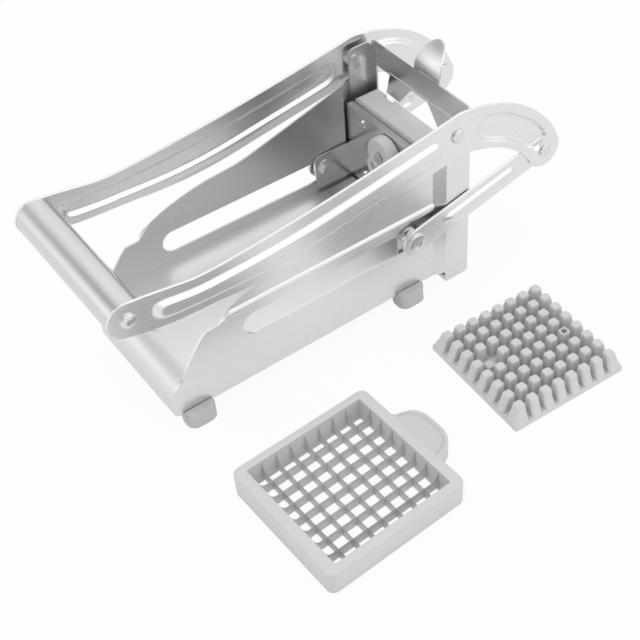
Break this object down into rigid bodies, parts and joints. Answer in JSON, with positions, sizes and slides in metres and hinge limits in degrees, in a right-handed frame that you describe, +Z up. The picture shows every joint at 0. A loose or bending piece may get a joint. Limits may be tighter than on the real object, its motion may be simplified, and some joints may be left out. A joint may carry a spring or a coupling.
{
  "type": "french fry cutter",
  "caption": "Hand-lever kitchen cutter: a lever pushes food through a blade grid. A spare blade frame and a spare pusher block lie beside it.",
  "frame": {"origin": "on the table, under the middle of the box over the cutter and its spare parts", "axes": "+X from the handle to the blades, +Y to the far side of the cutter, +Z up"},
  "size_m": [0.2678, 0.2102, 0.1271],
  "materials": {
    "brushed_sheet": "fine brushed",
    "satin_sheet": "satin",
    "rivet_steel": "polished",
    "blade_steel": "ground",
    "pale_plastic": "satin",
    "foot_rubber": "matt"
  },
  "bodies": {
    "frame": {"near_side": "brushed_sheet", "far_side": "brushed_sheet", "front_apron": "brushed_sheet", "deck": "satin_sheet", "blade_sill": "satin_sheet", "crossbar": "satin_sheet", "thumb_tab": "satin_sheet", "foot_front_near": "foot_rubber", "foot_front_far": "foot_rubber", "foot_rear_near": "foot_rubber", "foot_rear_far": "foot_rubber", "pivot_rivet_near": "rivet_steel", "pivot_rivet_far": "rivet_steel", "blade_frame": "pale_plastic", "upright_blades": "blade_steel", "cross_blades": "blade_steel"},
    "lever": {"lever_arm_near": "brushed_sheet", "lever_arm_far": "brushed_sheet", "handle_tube": "satin_sheet", "handle_rod": "satin_sheet", "handle_cap_near": "rivet_steel", "handle_cap_far": "rivet_steel", "link_rivet_near": "rivet_steel", "link_rivet_far": "rivet_steel"},
    "links": {"link_bar_near": "brushed_sheet", "link_bar_far": "brushed_sheet", "link_stud_near": "rivet_steel", "link_stud_far": "rivet_steel"},
    "pusher": {"carriage": "satin_sheet", "pusher_block": "pale_plastic", "slot_bush_near": "rivet_steel", "slot_bush_far": "rivet_steel", "slot_nut_near": "rivet_steel", "slot_nut_far": "rivet_steel", "block_rivets": "rivet_steel", "turn_pin": "rivet_steel"},
    "turn": {"thumb_turn": "pale_plastic"},
    "spare_frame": {"loose_blade_frame": "pale_plastic", "loose_long_blades": "blade_steel", "loose_cross_blades": "blade_steel"},
    "spare_block": {"loose_pusher_block": "pale_plastic"}
  },
  "joints": [
    {"name": "lever_swing", "type": "hinge", "parent": "frame", "child": "lever", "pos_m": [0.062, 0.05846, 0.1], "axis": [0, 1, 0], "range_deg": [0, 85.8]},
    {"name": "link_swing", "type": "hinge", "parent": "lever", "child": "links", "pos_m": [0.1233, 0.05846, 0.062], "axis": [0, 1, 0], "range_deg": [-69.1, 0]},
    {"name": "pusher_slide", "type": "slide", "parent": "frame", "child": "pusher", "axis": [-1, 0, 0], "range_m": [0, 0.0965]},
    {"name": "turn_spin", "type": "hinge", "parent": "pusher", "child": "turn", "pos_m": [0.05, 0.05846, 0.06781], "axis": [1, 0, 0], "range_deg": [0, 90]},
    {"name": "loose_frame_lift", "type": "slide", "parent": "frame", "child": "spare_frame", "axis": [0, 0, 1], "range_m": [0, 0.12]},
    {"name": "loose_block_lift", "type": "slide", "parent": "frame", "child": "spare_block", "axis": [0, 0, 1], "range_m": [0, 0.12]}
  ],
  "couplings": [
    {"joint": "link_swing", "follows": "lever_swing", "ratio": -0.80408},
    {"joint": "pusher_slide", "follows": "lever_swing", "m_per_rad": 0.064441}
  ]
}
